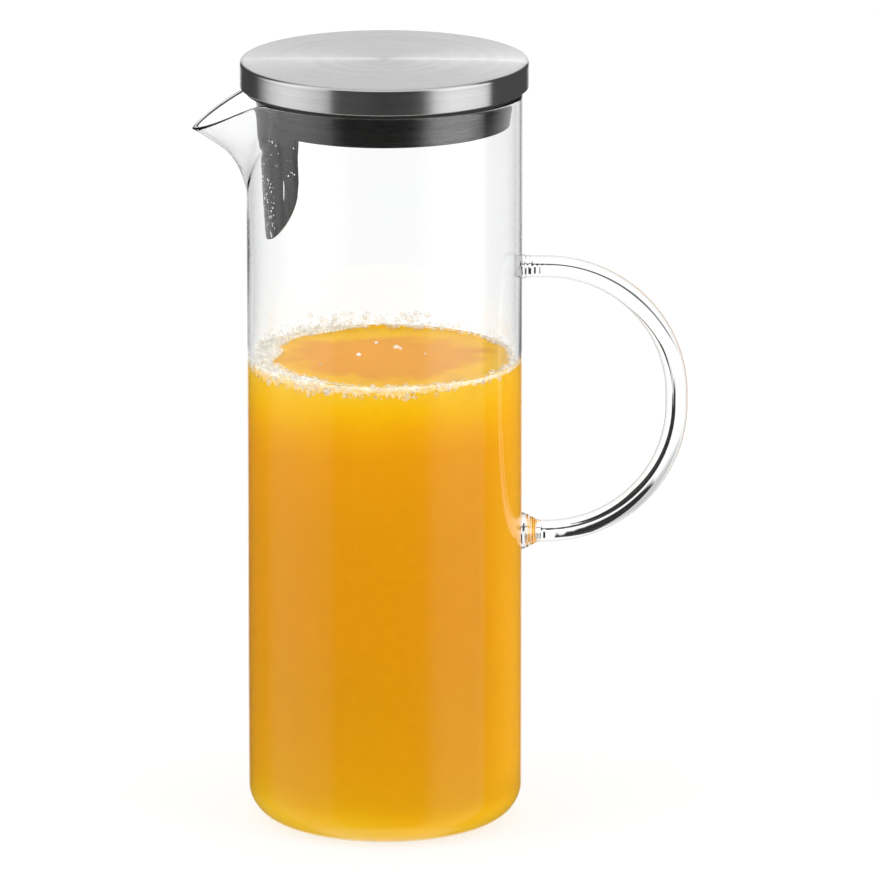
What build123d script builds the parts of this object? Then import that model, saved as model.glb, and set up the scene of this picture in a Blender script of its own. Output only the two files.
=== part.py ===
"""Glass pitcher with a brushed steel lid: a borosilicate jug with a pulled spout and a rod handle.

The origin is the centre of the foot, +Z is up, the handle is on +X and the spout on -X.
"""

import os
from math import radians, sin, sqrt, tan

from build123d import *

os.makedirs("parts", exist_ok=True)

# Glass body
glass_d = 95.0
glass_height = 257.8
glass_wall = 2.2
base_thickness = 3.2
base_corner_r = 12.0

# Pulled spout: reaches are outward from the wall, drops are down from the rim
spout_reach = 19.0
spout_drop = 13.4
spout_lip_slope = 29.0
spout_throat_w = 44.0
spout_tip_w = 40.0
spout_belly_reach = 6.3
spout_belly_drop = 22.0
spout_belly_w = 29.0
spout_root_drop = 32.2
spout_root_w = 16.0
spout_axis_inset = 12.0

# Rod handle
rod_d = 7.6
handle_bottom_z = 101.6
handle_bend_r = 45.0
handle_grip_length = 4.0
handle_stub_length = 8.3
upper_foot_d = 8.2
upper_foot_length = 3.0
lower_foot_d = 12.6
lower_foot_length = 6.5

# Silicone sealing ring
seal_flange_thickness = 1.5
seal_flange_overhang = 0.5
seal_sleeve_depth = 1.2
seal_sleeve_wall = 1.6
seal_fin_thickness = 1.0
seal_fin_count = 1

# Lid
lid_overhang = 2.2
cap_height = 9.4
cap_wall = 0.8
cap_edge_r = 1.0
core_wall = 2.0
core_flange_thickness = 2.0
core_hub_d = 12.0
core_rib_count = 8
core_rib_thickness = 1.6

# Spout guard: a collared skirt with a broad tongue that hangs behind the spout
guard_gap = 2.2
guard_wall = 0.8
guard_skirt_height = 12.4
guard_collar_gap = 1.1
guard_collar_height = 2.2
guard_hem_height = 0.6
guard_tongue_length = 40.0
guard_tongue_half_angle = 46.5
guard_tongue_draft = 2.0
guard_tongue_corner_r = 25.0

# Contents
juice_level = 163.4
foam_width = 6.0
foam_height = 2.2
foam_edge_r = 1.0

# Fits
seal_seat_gap = 0.05
seal_fin_clearance = 0.15
turn_clearance = 0.05
cap_fit = 0.05
core_fit = 0.05
juice_clearance = 0.05

# Radii and heights that follow from the sizes above
glass_r = glass_d / 2
bore_r = glass_r - glass_wall
bore_corner_r = base_corner_r - glass_wall
guard_r = bore_r - guard_gap
seal_bore_r = guard_r + turn_clearance
seal_bottom = glass_height + seal_seat_gap
seal_top = seal_bottom + seal_flange_thickness
lid_r = glass_r + lid_overhang
lid_bottom = seal_top + seal_seat_gap
lid_top = lid_bottom + cap_height
core_r = lid_r - cap_wall - cap_fit
core_top = lid_top - cap_wall - cap_fit
plug_r = guard_r - guard_wall - core_fit
guard_bottom = lid_bottom - guard_skirt_height
collar_r = bore_r - guard_collar_gap
collar_top = seal_bottom - seal_sleeve_depth - seal_seat_gap
collar_bottom = collar_top - guard_collar_height
rod_r = rod_d / 2

# Spout lip: a plane that falls from the rim to the tip
lip_rise = tan(radians(spout_lip_slope))
lip_tip_x = -(glass_r + spout_reach)
lip_tip_z = glass_height - spout_drop
lip_start_x = lip_tip_x + spout_drop / lip_rise
horn_x = spout_axis_inset - glass_r


def horn_sections(wall):
    """Height, length and half width of each ellipse of the spout's horn, inside a given wall."""
    over_rim = 2 * glass_wall
    rows = [
        (spout_root_drop, -glass_wall, spout_root_w),
        (spout_belly_drop, spout_belly_reach, spout_belly_w),
        (spout_drop, spout_reach, spout_tip_w),
        (-over_rim, spout_reach + (spout_drop + over_rim) / lip_rise, spout_throat_w),
    ]
    sections = []
    for drop, reach, width in rows:
        height = glass_height - drop + wall / 2
        sections.append((height, spout_axis_inset + reach - wall, width / 2 - wall))
    return sections


# Glass body: blown tube with a rounded base and a pulled spout
with BuildPart() as glass_body:
    with BuildSketch(Plane.XZ):
        with BuildLine():
            Polyline((0, glass_height), (0, 0), (glass_r - base_corner_r, 0))
            RadiusArc((glass_r - base_corner_r, 0), (glass_r, base_corner_r), -base_corner_r)
            Polyline((glass_r, base_corner_r), (glass_r, glass_height), (0, glass_height))
        make_face()
    revolve(axis=Axis.Z)
    for height, length, half_width in horn_sections(0):
        with BuildSketch(Plane.XY.offset(height)):
            with Locations((horn_x, 0)):
                Ellipse(length, half_width)
    loft()
    with BuildSketch(Plane.XZ):
        with BuildLine():
            Polyline((0, glass_height), (0, base_thickness), (bore_r - bore_corner_r, base_thickness))
            RadiusArc(
                (bore_r - bore_corner_r, base_thickness),
                (bore_r, base_thickness + bore_corner_r),
                -bore_corner_r,
            )
            Polyline((bore_r, base_thickness + bore_corner_r), (bore_r, glass_height), (0, glass_height))
        make_face()
    revolve(axis=Axis.Z, mode=Mode.SUBTRACT)
    for height, length, half_width in horn_sections(glass_wall):
        with BuildSketch(Plane.XY.offset(height)):
            with Locations((horn_x, 0)):
                Ellipse(length, half_width)
    loft(mode=Mode.SUBTRACT)
    with BuildSketch(Plane.XZ):
        with BuildLine():
            Polyline(
                (lip_tip_x - glass_d, lip_tip_z - glass_d * lip_rise),
                (lip_start_x, glass_height),
                (glass_d, glass_height),
                (glass_d, glass_height + glass_d),
                (lip_tip_x - glass_d, glass_height + glass_d),
                close=True,
            )
        make_face()
    extrude(amount=glass_d, both=True, mode=Mode.SUBTRACT)

glass_body.part.label = "glass_body"
export_step(glass_body.part, "parts/glass_body.step")

# Handle: one glass rod bent to a D, with a melted foot at each end
with BuildPart() as handle:
    bend_x = glass_r + handle_stub_length
    grip_x = bend_x + handle_bend_r
    grip_bottom_z = handle_bottom_z + handle_bend_r
    grip_top_z = grip_bottom_z + handle_grip_length
    handle_top_z = grip_top_z + handle_bend_r
    with BuildLine(Plane.XZ) as rod_line:
        Line((glass_r - rod_r, handle_top_z), (bend_x, handle_top_z))
        RadiusArc((bend_x, handle_top_z), (grip_x, grip_top_z), handle_bend_r)
        Line((grip_x, grip_top_z), (grip_x, grip_bottom_z))
        RadiusArc((grip_x, grip_bottom_z), (bend_x, handle_bottom_z), handle_bend_r)
        Line((bend_x, handle_bottom_z), (glass_r - rod_r, handle_bottom_z))
    with BuildSketch(Plane(origin=rod_line.line @ 0, z_dir=rod_line.line % 0)):
        Circle(rod_r)
    sweep()
    feet = [
        (handle_top_z, upper_foot_d / 2, upper_foot_length),
        (handle_bottom_z, lower_foot_d / 2, lower_foot_length),
    ]
    for foot_z, foot_r, foot_length in feet:
        foot_start = sqrt(glass_r**2 - foot_r**2)
        foot_end = glass_r + foot_length
        with Locations(Plane(origin=(foot_start, 0, foot_z), z_dir=(1, 0, 0))):
            Cone(foot_r, rod_r, foot_end - foot_start, align=(Align.CENTER, Align.CENTER, Align.MIN))
    Cylinder(
        glass_r,
        glass_height,
        align=(Align.CENTER, Align.CENTER, Align.MIN),
        mode=Mode.SUBTRACT,
    )

handle.part.label = "handle"
export_step(handle.part, "parts/handle.step")

# Sealing ring: a flange on the rim and a finned sleeve in the mouth
with BuildPart() as sealing_ring:
    sleeve_r = seal_bore_r + seal_sleeve_wall
    fin_r = bore_r - seal_fin_clearance
    fin_pitch = seal_sleeve_depth / seal_fin_count
    with BuildSketch(Plane.XZ):
        with Locations((seal_bore_r, seal_top)):
            Rectangle(
                glass_r + seal_flange_overhang - seal_bore_r,
                seal_flange_thickness,
                align=(Align.MIN, Align.MAX),
            )
            Rectangle(
                sleeve_r - seal_bore_r,
                seal_flange_thickness + seal_sleeve_depth,
                align=(Align.MIN, Align.MAX),
            )
        for fin in range(seal_fin_count):
            with Locations((seal_bore_r, seal_bottom - fin_pitch * (fin + 1))):
                Rectangle(fin_r - seal_bore_r, seal_fin_thickness, align=(Align.MIN, Align.MIN))
    revolve(axis=Axis.Z)

sealing_ring.part.label = "sealing_ring"
export_step(sealing_ring.part, "parts/sealing_ring.step")

# Lid cap: drawn steel cup, open downward
with BuildPart() as lid_cap:
    with BuildSketch(Plane.XY.offset(lid_bottom)):
        Circle(lid_r)
    extrude(amount=cap_height)
    fillet(lid_cap.faces().sort_by(Axis.Z)[-1].edges(), cap_edge_r)
    with BuildSketch(Plane.XY.offset(lid_bottom)):
        Circle(lid_r - cap_wall)
    extrude(amount=cap_height - cap_wall, mode=Mode.SUBTRACT)

lid_cap.part.label = "lid_cap"
export_step(lid_cap.part, "parts/lid_cap.step")

# Lid core: moulded plug with a flange under the cap and ribs that carry the cap
with BuildPart() as lid_core:
    core_floor = guard_bottom + core_wall
    with BuildSketch(Plane.XZ):
        with BuildLine():
            Polyline(
                (0, core_floor),
                (plug_r, core_floor),
                (plug_r, lid_bottom),
                (core_r, lid_bottom),
                (core_r, lid_bottom + core_flange_thickness),
                (plug_r - core_wall, lid_bottom + core_flange_thickness),
                (plug_r - core_wall, core_floor + core_wall),
                (0, core_floor + core_wall),
                close=True,
            )
        make_face()
    revolve(axis=Axis.Z)
    with BuildSketch(Plane.XY.offset(core_floor + core_wall / 2)):
        Circle(core_hub_d / 2)
    extrude(amount=core_top - core_floor - core_wall / 2)
    with BuildSketch(Plane.XY.offset(lid_bottom + core_flange_thickness / 2)):
        with PolarLocations(0, core_rib_count):
            Rectangle(core_r - cap_edge_r, core_rib_thickness, align=(Align.MIN, Align.CENTER))
    extrude(amount=core_top - lid_bottom - core_flange_thickness / 2)

lid_core.part.label = "lid_core"
export_step(lid_core.part, "parts/lid_core.step")

# Spout guard: drawn skirt on the plug, with a collar that holds the sealing ring under the cap
# and the tongue behind the spout
with BuildPart() as spout_guard:
    tongue_bottom = guard_bottom - guard_tongue_length
    tongue_r = guard_r - guard_tongue_draft
    with BuildSketch(Plane.XZ):
        with BuildLine():
            Polyline(
                (guard_r - guard_wall, lid_bottom),
                (guard_r, lid_bottom),
                (guard_r, collar_top),
                (collar_r, collar_top),
                (collar_r, collar_bottom),
                (guard_r, guard_bottom + guard_hem_height),
                (guard_r, guard_bottom),
                (tongue_r, tongue_bottom),
                (tongue_r - guard_wall, tongue_bottom),
                (guard_r - guard_wall, guard_bottom),
                close=True,
            )
        make_face()
    revolve(axis=Axis.Z)
    tongue_half_w = guard_r * sin(radians(guard_tongue_half_angle))
    corner_r = min(guard_tongue_corner_r, tongue_half_w - guard_wall, guard_tongue_length - guard_wall)
    with BuildSketch(Plane.YZ):
        with Locations((0, guard_bottom)):
            Rectangle(glass_d, guard_tongue_length, align=(Align.CENTER, Align.MAX))
    extrude(amount=glass_r, mode=Mode.SUBTRACT)
    with BuildSketch(Plane.YZ):
        with Locations((0, guard_bottom)):
            Rectangle(glass_d, guard_tongue_length, align=(Align.CENTER, Align.MAX))
        with BuildLine():
            Polyline(
                (-tongue_half_w, tongue_bottom + corner_r),
                (-tongue_half_w, guard_bottom),
                (tongue_half_w, guard_bottom),
                (tongue_half_w, tongue_bottom + corner_r),
            )
            RadiusArc(
                (tongue_half_w, tongue_bottom + corner_r),
                (tongue_half_w - corner_r, tongue_bottom),
                corner_r,
            )
            Line((tongue_half_w - corner_r, tongue_bottom), (corner_r - tongue_half_w, tongue_bottom))
            RadiusArc(
                (corner_r - tongue_half_w, tongue_bottom),
                (-tongue_half_w, tongue_bottom + corner_r),
                corner_r,
            )
        make_face(mode=Mode.SUBTRACT)
    extrude(amount=-glass_r, mode=Mode.SUBTRACT)

spout_guard.part.label = "spout_guard"
export_step(spout_guard.part, "parts/spout_guard.step")

# Orange juice: the contents, following the bore up to its level
with BuildPart() as orange_juice:
    juice_r = bore_r - juice_clearance
    juice_bottom = base_thickness + juice_clearance
    juice_corner_r = bore_corner_r - juice_clearance
    with BuildSketch(Plane.XZ):
        with BuildLine():
            Polyline((0, juice_level), (0, juice_bottom), (juice_r - juice_corner_r, juice_bottom))
            RadiusArc(
                (juice_r - juice_corner_r, juice_bottom),
                (juice_r, juice_bottom + juice_corner_r),
                -juice_corner_r,
            )
            Polyline((juice_r, juice_bottom + juice_corner_r), (juice_r, juice_level), (0, juice_level))
        make_face()
    revolve(axis=Axis.Z)

orange_juice.part.label = "orange_juice"
export_step(orange_juice.part, "parts/orange_juice.step")

# Juice foam: the ring of bubbles that floats along the wall
with BuildPart() as juice_foam:
    with BuildSketch(Plane.XZ):
        with Locations((juice_r, juice_level)):
            Rectangle(foam_width, foam_height, align=(Align.MAX, Align.MIN))
    revolve(axis=Axis.Z)
    fillet(juice_foam.edges().group_by(Axis.Z)[-1], foam_edge_r)

juice_foam.part.label = "juice_foam"
export_step(juice_foam.part, "parts/juice_foam.step")
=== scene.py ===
import bpy
import bmesh
import math
import random
from mathutils import Matrix, Vector, noise


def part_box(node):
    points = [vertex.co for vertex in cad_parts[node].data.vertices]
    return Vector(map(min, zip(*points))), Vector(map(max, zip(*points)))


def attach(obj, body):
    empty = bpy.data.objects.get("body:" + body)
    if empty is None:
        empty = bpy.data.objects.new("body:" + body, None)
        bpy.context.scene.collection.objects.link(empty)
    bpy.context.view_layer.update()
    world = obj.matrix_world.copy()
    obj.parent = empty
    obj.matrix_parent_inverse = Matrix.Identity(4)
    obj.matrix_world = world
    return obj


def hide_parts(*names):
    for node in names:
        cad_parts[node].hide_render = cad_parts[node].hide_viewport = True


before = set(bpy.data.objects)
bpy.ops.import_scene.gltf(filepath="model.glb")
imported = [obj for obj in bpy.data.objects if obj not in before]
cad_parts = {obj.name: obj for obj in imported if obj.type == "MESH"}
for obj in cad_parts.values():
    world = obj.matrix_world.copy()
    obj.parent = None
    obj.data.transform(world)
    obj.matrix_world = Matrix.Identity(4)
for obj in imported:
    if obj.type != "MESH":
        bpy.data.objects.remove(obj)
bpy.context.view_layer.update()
mm = 0.001
turn = 2 * math.pi
print("frame loaded, nodes:", len(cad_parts))

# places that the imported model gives
glassLow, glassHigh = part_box("glass_body")
juiceLow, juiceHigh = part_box("orange_juice")
capLow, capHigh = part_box("lid_cap")
sealLow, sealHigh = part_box("sealing_ring")
guardLow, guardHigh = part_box("spout_guard")
glassR = glassHigh.y
rimZ = glassHigh.z
juiceZ = juiceHigh.z


# small maths
def smoothStep(low, high, x):
    t = min(max((x - low) / (high - low), 0.0), 1.0)
    return t * t * (3 - 2 * t)


def softMax(u, v, blend):
    h = max(blend - abs(u - v), 0.0) / blend
    return max(u, v) + h * h * blend / 4


def easeCurve(x, xs, ys):  # monotone cubic through a few points, straight beyond its ends
    steps = [(ys[i + 1] - ys[i]) / (xs[i + 1] - xs[i]) for i in range(len(xs) - 1)]
    if x <= xs[0]:
        return ys[0] + steps[0] * (x - xs[0])
    if x >= xs[-1]:
        return ys[-1] + steps[-1] * (x - xs[-1])
    slopes = [steps[0]] + [2 * a * b / (a + b) for a, b in zip(steps, steps[1:])] + [steps[-1]]
    i = max(k for k in range(len(xs) - 1) if xs[k] <= x)
    w = xs[i + 1] - xs[i]
    t = (x - xs[i]) / w
    return (
        ys[i] * (1 + 2 * t) * (1 - t) ** 2
        + w * slopes[i] * t * (1 - t) ** 2
        + ys[i + 1] * t * t * (3 - 2 * t)
        + w * slopes[i + 1] * t * t * (t - 1)
    )


def lastInside(low, high, isInside, steps):  # halves a span down to where the inside ends
    for _ in range(steps):
        middle = (low + high) / 2
        if isInside(middle):
            low = middle
        else:
            high = middle
    return low


def spread(low, high, count):  # count values from low to high, ends included
    return [low + (high - low) * i / (count - 1) for i in range(count)]


def evenAngles(count):
    return [turn * j / count for j in range(count)]


def arcPoints(centre, radius, start, end, count):
    return [
        (centre[0] + radius * math.cos(a), centre[1] + radius * math.sin(a))
        for a in spread(start, end, count)
    ]


def roundCorners(corners, closed=False, steps=5):  # corners are (r, z, corner radius)
    line = []
    last = len(corners) - 1
    for i, (r, z, radius) in enumerate(corners):
        p = Vector((r, z))
        if radius <= 0 or (not closed and i in (0, last)):
            line.append((r, z))
            continue
        before = Vector(corners[i - 1][:2]) - p
        after = Vector(corners[(i + 1) % len(corners)][:2]) - p
        u, v = before.normalized(), after.normalized()
        half = u.angle(v) / 2
        cut = radius / math.tan(half)
        centre = p + (u + v).normalized() * radius / math.sin(half)
        hold = radius * 0.3  # a loop beside the arc keeps the flat sides flat
        line.append(tuple(p + u * min(cut + hold, before.length / 2)))
        a = p + u * cut - centre
        sweep = a.angle_signed(p + v * cut - centre)
        for k in range(steps + 1):
            turned = a.copy()
            turned.rotate(Matrix.Rotation(-sweep * k / steps, 2))
            line.append(tuple(centre + turned))
        line.append(tuple(p + v * min(cut + hold, after.length / 2)))
    return line


# meshes
def skinRings(rings, closed=False):  # a ring of one point is a pole
    verts, starts, faces = [], [], []
    for ring in rings:
        starts.append(len(verts))
        verts.extend(ring)
    pairs = list(zip(range(len(rings)), range(1, len(rings))))
    if closed:
        pairs.append((len(rings) - 1, 0))
    for a, b in pairs:
        na, nb = len(rings[a]), len(rings[b])
        for j in range(max(na, nb)):
            k = (j + 1) % max(na, nb)
            if na == 1:
                faces.append((starts[a], starts[b] + j, starts[b] + k))
            elif nb == 1:
                faces.append((starts[a] + k, starts[a] + j, starts[b]))
            else:
                faces.append((starts[a] + j, starts[b] + j, starts[b] + k, starts[a] + k))
    return verts, faces


def sectionRings(angles, sections):  # a ring through each row of points of the (r, z) sections
    rings = []
    for row in zip(*sections):
        rings.append([(r * math.cos(a), r * math.sin(a), z) for a, (r, z) in zip(angles, row)])
    return rings


def latheRings(profile, segments):  # points on the axis become poles
    angles = evenAngles(segments)
    return [
        [(0.0, 0.0, z)] if r < 1e-7 else [(r * math.cos(a), r * math.sin(a), z) for a in angles]
        for r, z in profile
    ]


def makePiece(name, verts, faces, materials, sharpAngle=40):
    mesh = bpy.data.meshes.new(name)
    mesh.from_pydata(verts, [], faces)
    work = bmesh.new()
    work.from_mesh(mesh)
    bmesh.ops.recalc_face_normals(work, faces=work.faces)
    work.to_mesh(mesh)
    work.free()
    mesh.shade_smooth()
    mesh.set_sharp_from_angle(angle=math.radians(sharpAngle))
    piece = bpy.data.objects.new(name, mesh)
    bpy.context.scene.collection.objects.link(piece)
    for material in materials:
        mesh.materials.append(material)
    return piece


def carry(piece, body, slot, *nodes):
    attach(piece, body)
    if nodes:
        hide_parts(*nodes)
    print("piece ready:", piece.name, len(piece.data.polygons), "faces")


# shader nodes
def setSockets(tree, node, values):  # links sockets, sets plain values
    for key, value in values.items():
        if isinstance(value, bpy.types.NodeSocket):
            tree.links.new(value, node.inputs[key])
        else:
            node.inputs[key].default_value = value


def addNode(tree, kind, inputs=None, **props):
    node = tree.nodes.new("ShaderNode" + kind)
    for prop, value in props.items():
        setattr(node, prop, value)
    setSockets(tree, node, inputs or {})
    return node


def calc(tree, operation, a, b=0.0):
    return addNode(tree, "Math", {0: a, 1: b}, operation=operation).outputs[0]


def times(tree, a, b):
    return calc(tree, "MULTIPLY", a, b)


def vectorCalc(tree, operation, *values):
    return addNode(tree, "VectorMath", dict(enumerate(values)), operation=operation).outputs[0]


def remap(tree, value, fromLow, fromHigh, toLow, toHigh, kind="LINEAR"):
    sockets = {"Value": value, "From Min": fromLow, "From Max": fromHigh, "To Min": toLow, "To Max": toHigh}
    return addNode(tree, "MapRange", sockets, interpolation_type=kind).outputs[0]


def ramp(tree, value, stops):  # stops are (place, linear colour)
    node = addNode(tree, "ValToRGB", {"Fac": value})
    elements = node.color_ramp.elements
    elements[0].position, elements[0].color = stops[0][0], (*stops[0][1], 1)
    elements[1].position, elements[1].color = stops[-1][0], (*stops[-1][1], 1)
    for place, colour in stops[1:-1]:
        elements.new(place).color = (*colour, 1)
    return node.outputs["Color"]


def blendColour(tree, factor, a, b, kind="MIX"):
    sockets = {"Factor": factor, 6: a, 7: b}
    return addNode(tree, "Mix", sockets, data_type="RGBA", blend_type=kind).outputs[2]


def objectPlace(tree):
    return addNode(tree, "TexCoord").outputs["Object"]


def axisDistance(tree, x, y):
    return calc(tree, "SQRT", calc(tree, "ADD", times(tree, x, x), times(tree, y, y)))


def clouds(tree, place, scale, detail, roughness=0.5, distortion=0.0):
    return addNode(tree, "TexNoise", {
        "Vector": place, "Scale": scale, "Detail": detail, "Roughness": roughness, "Distortion": distortion,
    }).outputs["Fac"]


def bumpFrom(tree, height, strength, distance, normal=None):
    sockets = {"Height": height, "Strength": strength, "Distance": distance}
    if normal is not None:
        sockets["Normal"] = normal
    return addNode(tree, "Bump", sockets).outputs[0]


def newMaterial(name):
    material = bpy.data.materials.new(name)
    material.use_nodes = True
    tree = material.node_tree
    shader = next(n for n in tree.nodes if n.type == "BSDF_PRINCIPLED")
    return material, tree, shader


def newGroup(name, inputs, outputs):  # its sockets are plain values, apart from normals
    group = bpy.data.node_groups.new(name, "ShaderNodeTree")
    for socket, value in inputs.items():
        made = group.interface.new_socket(socket, in_out="INPUT", socket_type="NodeSocketFloat")
        made.default_value = value
    for socket in outputs:
        kind = "NodeSocketVector" if socket == "Normal" else "NodeSocketFloat"
        group.interface.new_socket(socket, in_out="OUTPUT", socket_type=kind)
    start = group.nodes.new("NodeGroupInput")
    end = group.nodes.new("NodeGroupOutput")
    return group, start.outputs, end


def useGroup(tree, group, inputs):
    node = tree.nodes.new("ShaderNodeGroup")
    node.node_tree = group
    setSockets(tree, node, inputs)
    return node.outputs


# circular brushing: fine grooves round the axis, broken along their length
def makeSpunBrush():
    group, asked, end = newGroup(
        "spunBrush",
        {"Grooves": 2500.0, "Stroke": 3.0, "Rough Low": 0.25, "Rough High": 0.4, "Tilt": 0.0},
        ["Roughness", "Normal", "Height", "Tone"],
    )
    x, y, z = addNode(group, "SeparateXYZ", {0: objectPlace(group)}).outputs
    r = axisDistance(group, x, y)
    safe = calc(group, "MAXIMUM", r, 1e-5)  # never nothing, for the points on the axis
    unitX = calc(group, "DIVIDE", x, safe)
    unitY = calc(group, "DIVIDE", y, safe)
    groove = times(group, calc(group, "ADD", r, z), asked["Grooves"])
    along = addNode(group, "CombineXYZ", {
        0: times(group, unitX, asked["Stroke"]),
        1: times(group, unitY, asked["Stroke"]),
        2: groove,
    }).outputs[0]
    fine = clouds(group, along, 1.0, 4.0, 0.6)
    broad = clouds(group, along, 0.13, 2.0)
    mixed = calc(group, "ADD", times(group, fine, 0.65), times(group, broad, 0.35))
    # the flanks of grooves too fine to see lean across the stroke
    flanks = addNode(group, "TexNoise", {"W": groove, "Scale": 4.0, "Detail": 1.0}, noise_dimensions="1D")
    lean = times(group, calc(group, "SUBTRACT", flanks.outputs["Fac"], 0.5), asked["Tilt"])
    stroke = addNode(group, "CombineXYZ", {0: times(group, unitY, -1.0), 1: unitX}).outputs[0]
    stroke = addNode(group, "VectorTransform", {0: stroke}, vector_type="VECTOR",
                     convert_from="OBJECT", convert_to="WORLD").outputs[0]
    normal = addNode(group, "NewGeometry").outputs["Normal"]
    across = vectorCalc(group, "CROSS_PRODUCT", stroke, normal)
    leaned = vectorCalc(group, "MULTIPLY_ADD", across, lean, normal)
    setSockets(group, end, {
        "Roughness": remap(group, mixed, 0.3, 0.7, asked["Rough Low"], asked["Rough High"]),
        "Normal": vectorCalc(group, "NORMALIZE", leaned),
        "Height": mixed,
        "Tone": broad,
    })
    return group


# faint smears and dust that handling leaves on polished surfaces
def makeSmears():
    group, asked, end = newGroup("smears", {"Scale": 40.0, "Amount": 0.05}, ["Mask", "Height"])
    cloud = clouds(group, objectPlace(group), asked["Scale"], 5.0, 0.65, 0.8)
    setSockets(group, end, {"Mask": remap(group, cloud, 0.48, 0.75, 0.0, asked["Amount"]), "Height": cloud})
    return group


# fine pebbled grain of moulded rubber and plastic
def makeMouldGrain():
    group, asked, end = newGroup(
        "mouldGrain",
        {"Scale": 900.0, "Rough Low": 0.5, "Rough High": 0.7},
        ["Roughness", "Height", "Tone"],
    )
    place = objectPlace(group)
    dust = clouds(group, place, 60.0, 6.0, 0.7)
    setSockets(group, end, {
        "Roughness": remap(group, dust, 0.35, 0.65, asked["Rough Low"], asked["Rough High"]),
        "Height": clouds(group, place, asked["Scale"], 3.0),
        "Tone": dust,
    })
    return group


spunBrush = makeSpunBrush()
smears = makeSmears()
mouldGrain = makeMouldGrain()
print("node groups ready")

# stage: white floor, soft studio round the object, long lens
stageSpec = {
    "floorHalf": 4.0,
    "floorDrop": 0.2 * mm,
    "floorAlbedo": 0.8,
    "floorGlow": 0.72,  # what the white ground adds where it is seen directly
    "softLight": 1.0,
    "lightInGlass": (2.3, 3.2),  # on juice and on foam, makes up for what glass and lid keep from them
    "seenWhite": 1.0,
    "seenThrough": (1.12, 0.94),  # straight behind, where it makes up for what the walls reflect, and aside
    "seenAngles": (25, 60),  # degrees from the lens's axis where these two hold
    "wallTone": (0.9, 0.5),  # of what one wall, and more than one, turn back inside the glass
    "wallAside": (55, 75),  # degrees from straight behind where that goes over to the mirrored room
    "leftInGlass": (-40, -15, 0.5),  # degrees, and how much of the left panel reaches the inside
    # what mirrors show: (degrees from the camera's side, level), two soft panels in a dark room
    "around": [
        (-180, 0.06), (-130, 0.05), (-121, 0.08), (-113, 0.38), (-102, 0.76), (-90, 0.94), (-79, 0.94),
        (-69, 0.89), (-60, 0.78), (-50, 0.64), (-45, 0.45), (-41, 0.14), (-34, 0.07), (0, 0.045), (22, 0.055),
        (30, 0.12), (36, 0.36), (41, 0.74), (47, 0.95), (56, 1.08), (65, 1.08), (75, 1.04), (88, 0.97),
        (92, 0.74), (95, 0.12), (100, 0.07), (180, 0.06),
    ],
    "brightest": 1.5,
    "panelGain": 1.2,
    "panelFade": (-13.6, -12.8, 0.5),  # panels are dimmer low down: degrees of elevation, level under them
    "roomTone": 0.08,  # what is no lighter than this is not dimmed
    "backdropHalf": 15.0,
    "backdropEdge": 4.0,
    "backdrop": [(-90, 0.86), (-20, 0.88), (0, 0.84), (13, 0.78), (20, 0.72), (90, 0.68)],  # by elevation
    "strip": ((0.0, 16.0), (11.6, 12.4)),  # a bright strip low behind: sides, heights
    "stripLevel": 2.1,
    "overhead": (40.0, 60.0, 0.77),  # elevation where it starts and is full, level
    "underneath": (-52.0, -66.0, 0.85),
    # what glass shows: white, a dark line where the ground ends and a dark stand beside it
    "lineSpan": 45,
    "lineEnds": (-44, 44),
    "lineRise": [(-45, -25.3), (-23, -24.4), (-9.5, -23.3), (0, -19.8), (5, -18.8), (9, -17.2), (12, -13.8),
                 (21, -5.8), (35, 16), (45, 34)],
    "lineHalf": [(-45, 0.2), (-23, 0.6), (-9.5, 1.3), (0, 1.5), (3, 3.5), (5, 5), (8, 4), (10, 3), (12, 2.5),
                 (21, 2.0), (35, 1.5), (45, 1)],
    "lineTone": [(-45, 0), (-30, 0.3), (-20, 0.8), (10, 1), (12, 0.3), (15, 0.3), (17, 1), (45, 0.9)],
    "lineSoft": 1.0,
    "stand": ((4.0, 18.0), (-30.0, -13.6)),  # sides, heights
    "curtain": ((-14.0, -1.2), (-13.0, 14.0), 0.8, 0.7),  # and softness, slant
    "veil": ((-36.0, -9.0), (-6.0, 22.0), 4.0),
    "veilTone": 0.45,
    "darkest": 0.03,
}
cameraSpec = {
    "place": (0.01874, -3.8795, 1.1026),
    "pitch": 0.2446,
    "lens": 474.1,
    "sensor": 36.0,
}
lampSpec = [
    # name, place, aim, size, power
    ("panelLeft", (-1.5, -0.7, 0.9), (0, 0, 0.12), (0.8, 1.4), 9.0),
    ("panelRight", (1.4, -1.0, 0.9), (0, 0, 0.12), (0.6, 1.3), 7.0),
]


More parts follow.
